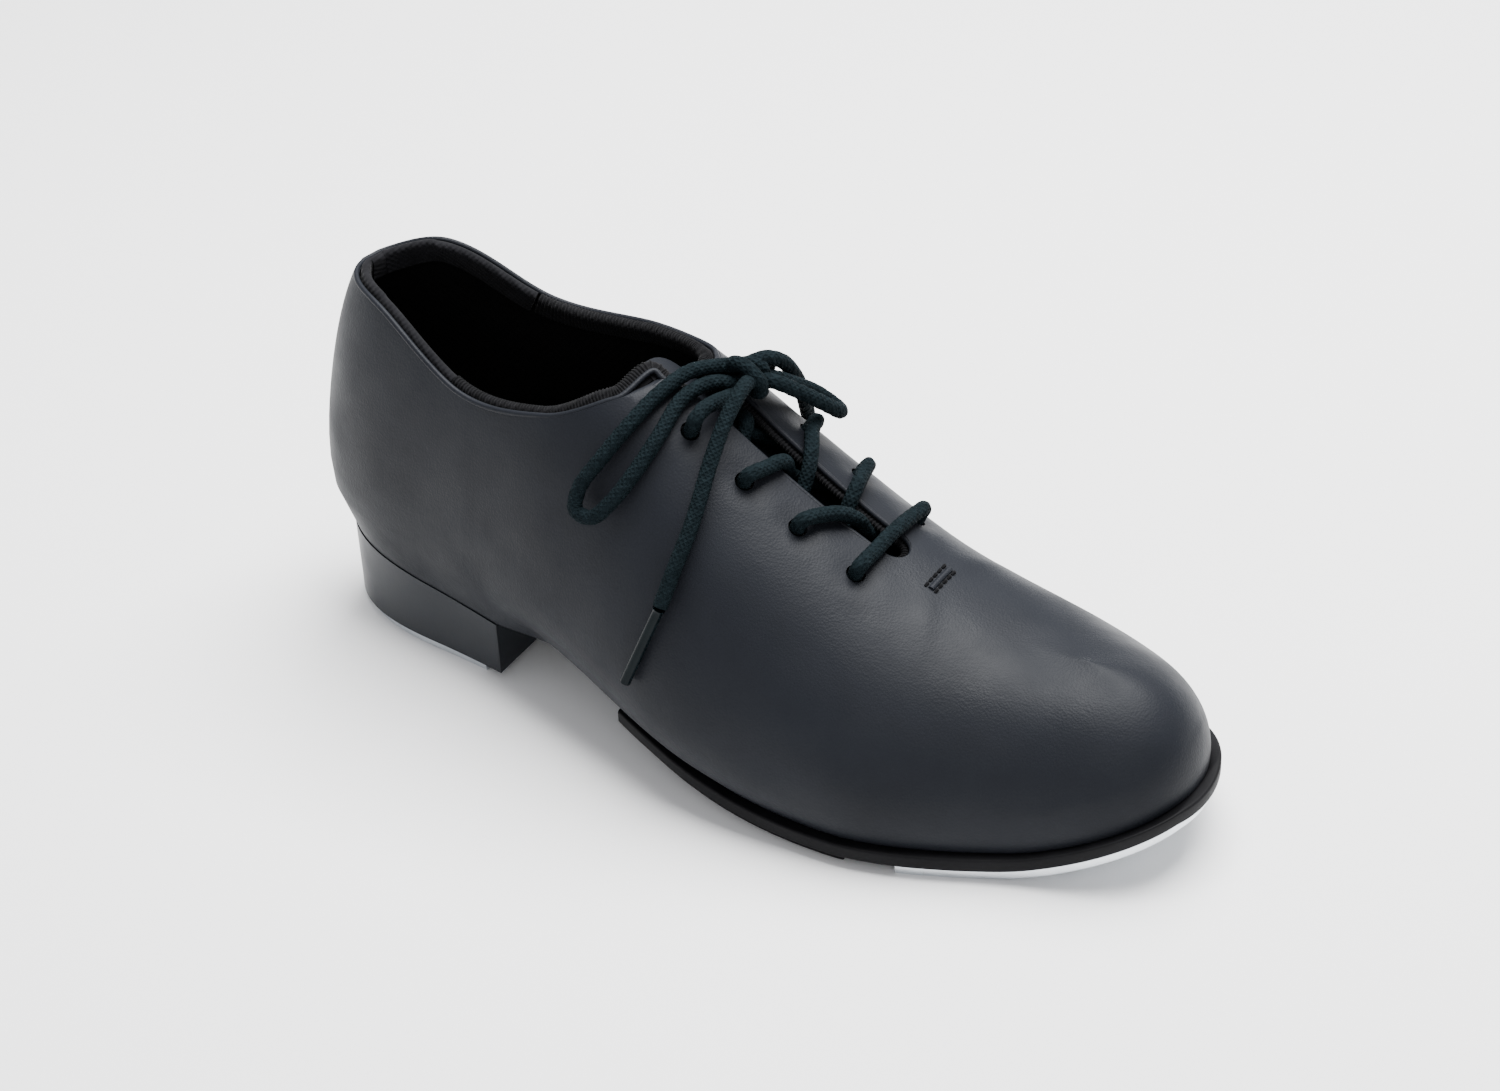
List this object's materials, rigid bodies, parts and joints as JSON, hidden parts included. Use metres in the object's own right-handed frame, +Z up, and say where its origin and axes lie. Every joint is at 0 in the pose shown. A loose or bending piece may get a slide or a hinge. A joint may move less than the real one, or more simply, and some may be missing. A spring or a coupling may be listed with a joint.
{
  "type": "tap shoe",
  "caption": "Lace-up oxford tap shoe: seamless upper, bound collar, laced throat with a tied bow, block heel, half sole, and metal taps under toe and heel.",
  "frame": {"origin": "on the ground, in the flat underside of the heel tap, at half the heel's length on the heel's centre line", "axes": "+X towards the toe, +Z up; this is a right shoe, so -Y is the outer side of the foot"},
  "size_m": [0.2729, 0.1067, 0.1135],
  "materials": {
    "upper_leather": "matte fine-grained synthetic leather",
    "black_tape": "ribbed black textile tape",
    "smooth_tape": "smooth dark textile tape",
    "black_cloth": "brushed black lining cloth",
    "lace_cord": "round braided cord",
    "aglet_film": "glossy dark film",
    "stiffener": "pressed fibre",
    "board": "fibre board",
    "steel": "plain steel",
    "tap_metal": "satin cast aluminium",
    "sole_black": "matte black sole",
    "pad_rubber": "soft matte rubber",
    "heel_plastic": "satin slate heel",
    "thread": "black sewing thread"
  },
  "bodies": {
    "shoe": {"upper": "upper_leather", "collar_tape": "smooth_tape", "throat_binding": "black_tape", "eyelet_stay_outer": "black_cloth", "eyelet_stay_inner": "black_cloth", "heel_counter": "stiffener", "toe_puff": "stiffener", "quarter_lining": "black_cloth", "vamp_lining": "black_cloth", "insole_board": "board", "sock_liner": "black_cloth", "forefoot_filler": "board", "shank": "steel", "waist_cover": "sole_black", "forefoot_sole": "sole_black", "rubber_pad": "pad_rubber", "toe_tap": "tap_metal", "toe_tap_screw_1": "steel", "toe_tap_screw_2": "steel", "toe_tap_screw_3": "steel", "heel_block": "heel_plastic", "heel_tap": "tap_metal", "heel_tap_screw_1": "steel", "heel_tap_screw_2": "steel", "heel_tap_screw_3": "steel", "heel_nail_1": "steel", "heel_nail_2": "steel", "heel_nail_3": "steel", "heel_nail_4": "steel", "bar_tack": "thread", "lace_held": "lace_cord", "lace_knot": "lace_cord", "lace_riser_outer": "lace_cord", "lace_riser_inner": "lace_cord", "lace_loop_outer": "lace_cord", "lace_loop_inner": "lace_cord", "lace_end_outer": "lace_cord", "lace_end_inner": "lace_cord", "aglet_outer": "aglet_film", "aglet_inner": "aglet_film"},
    "tongue": {"tongue": "upper_leather", "tongue_lining": "black_cloth"}
  },
  "joints": [
    {"name": "tongue_swing", "type": "hinge", "parent": "shoe", "child": "tongue", "pos_m": [0.1695, 0.003, 0.0462], "axis": [0, -1, 0], "range_deg": [0, 12]}
  ]
}
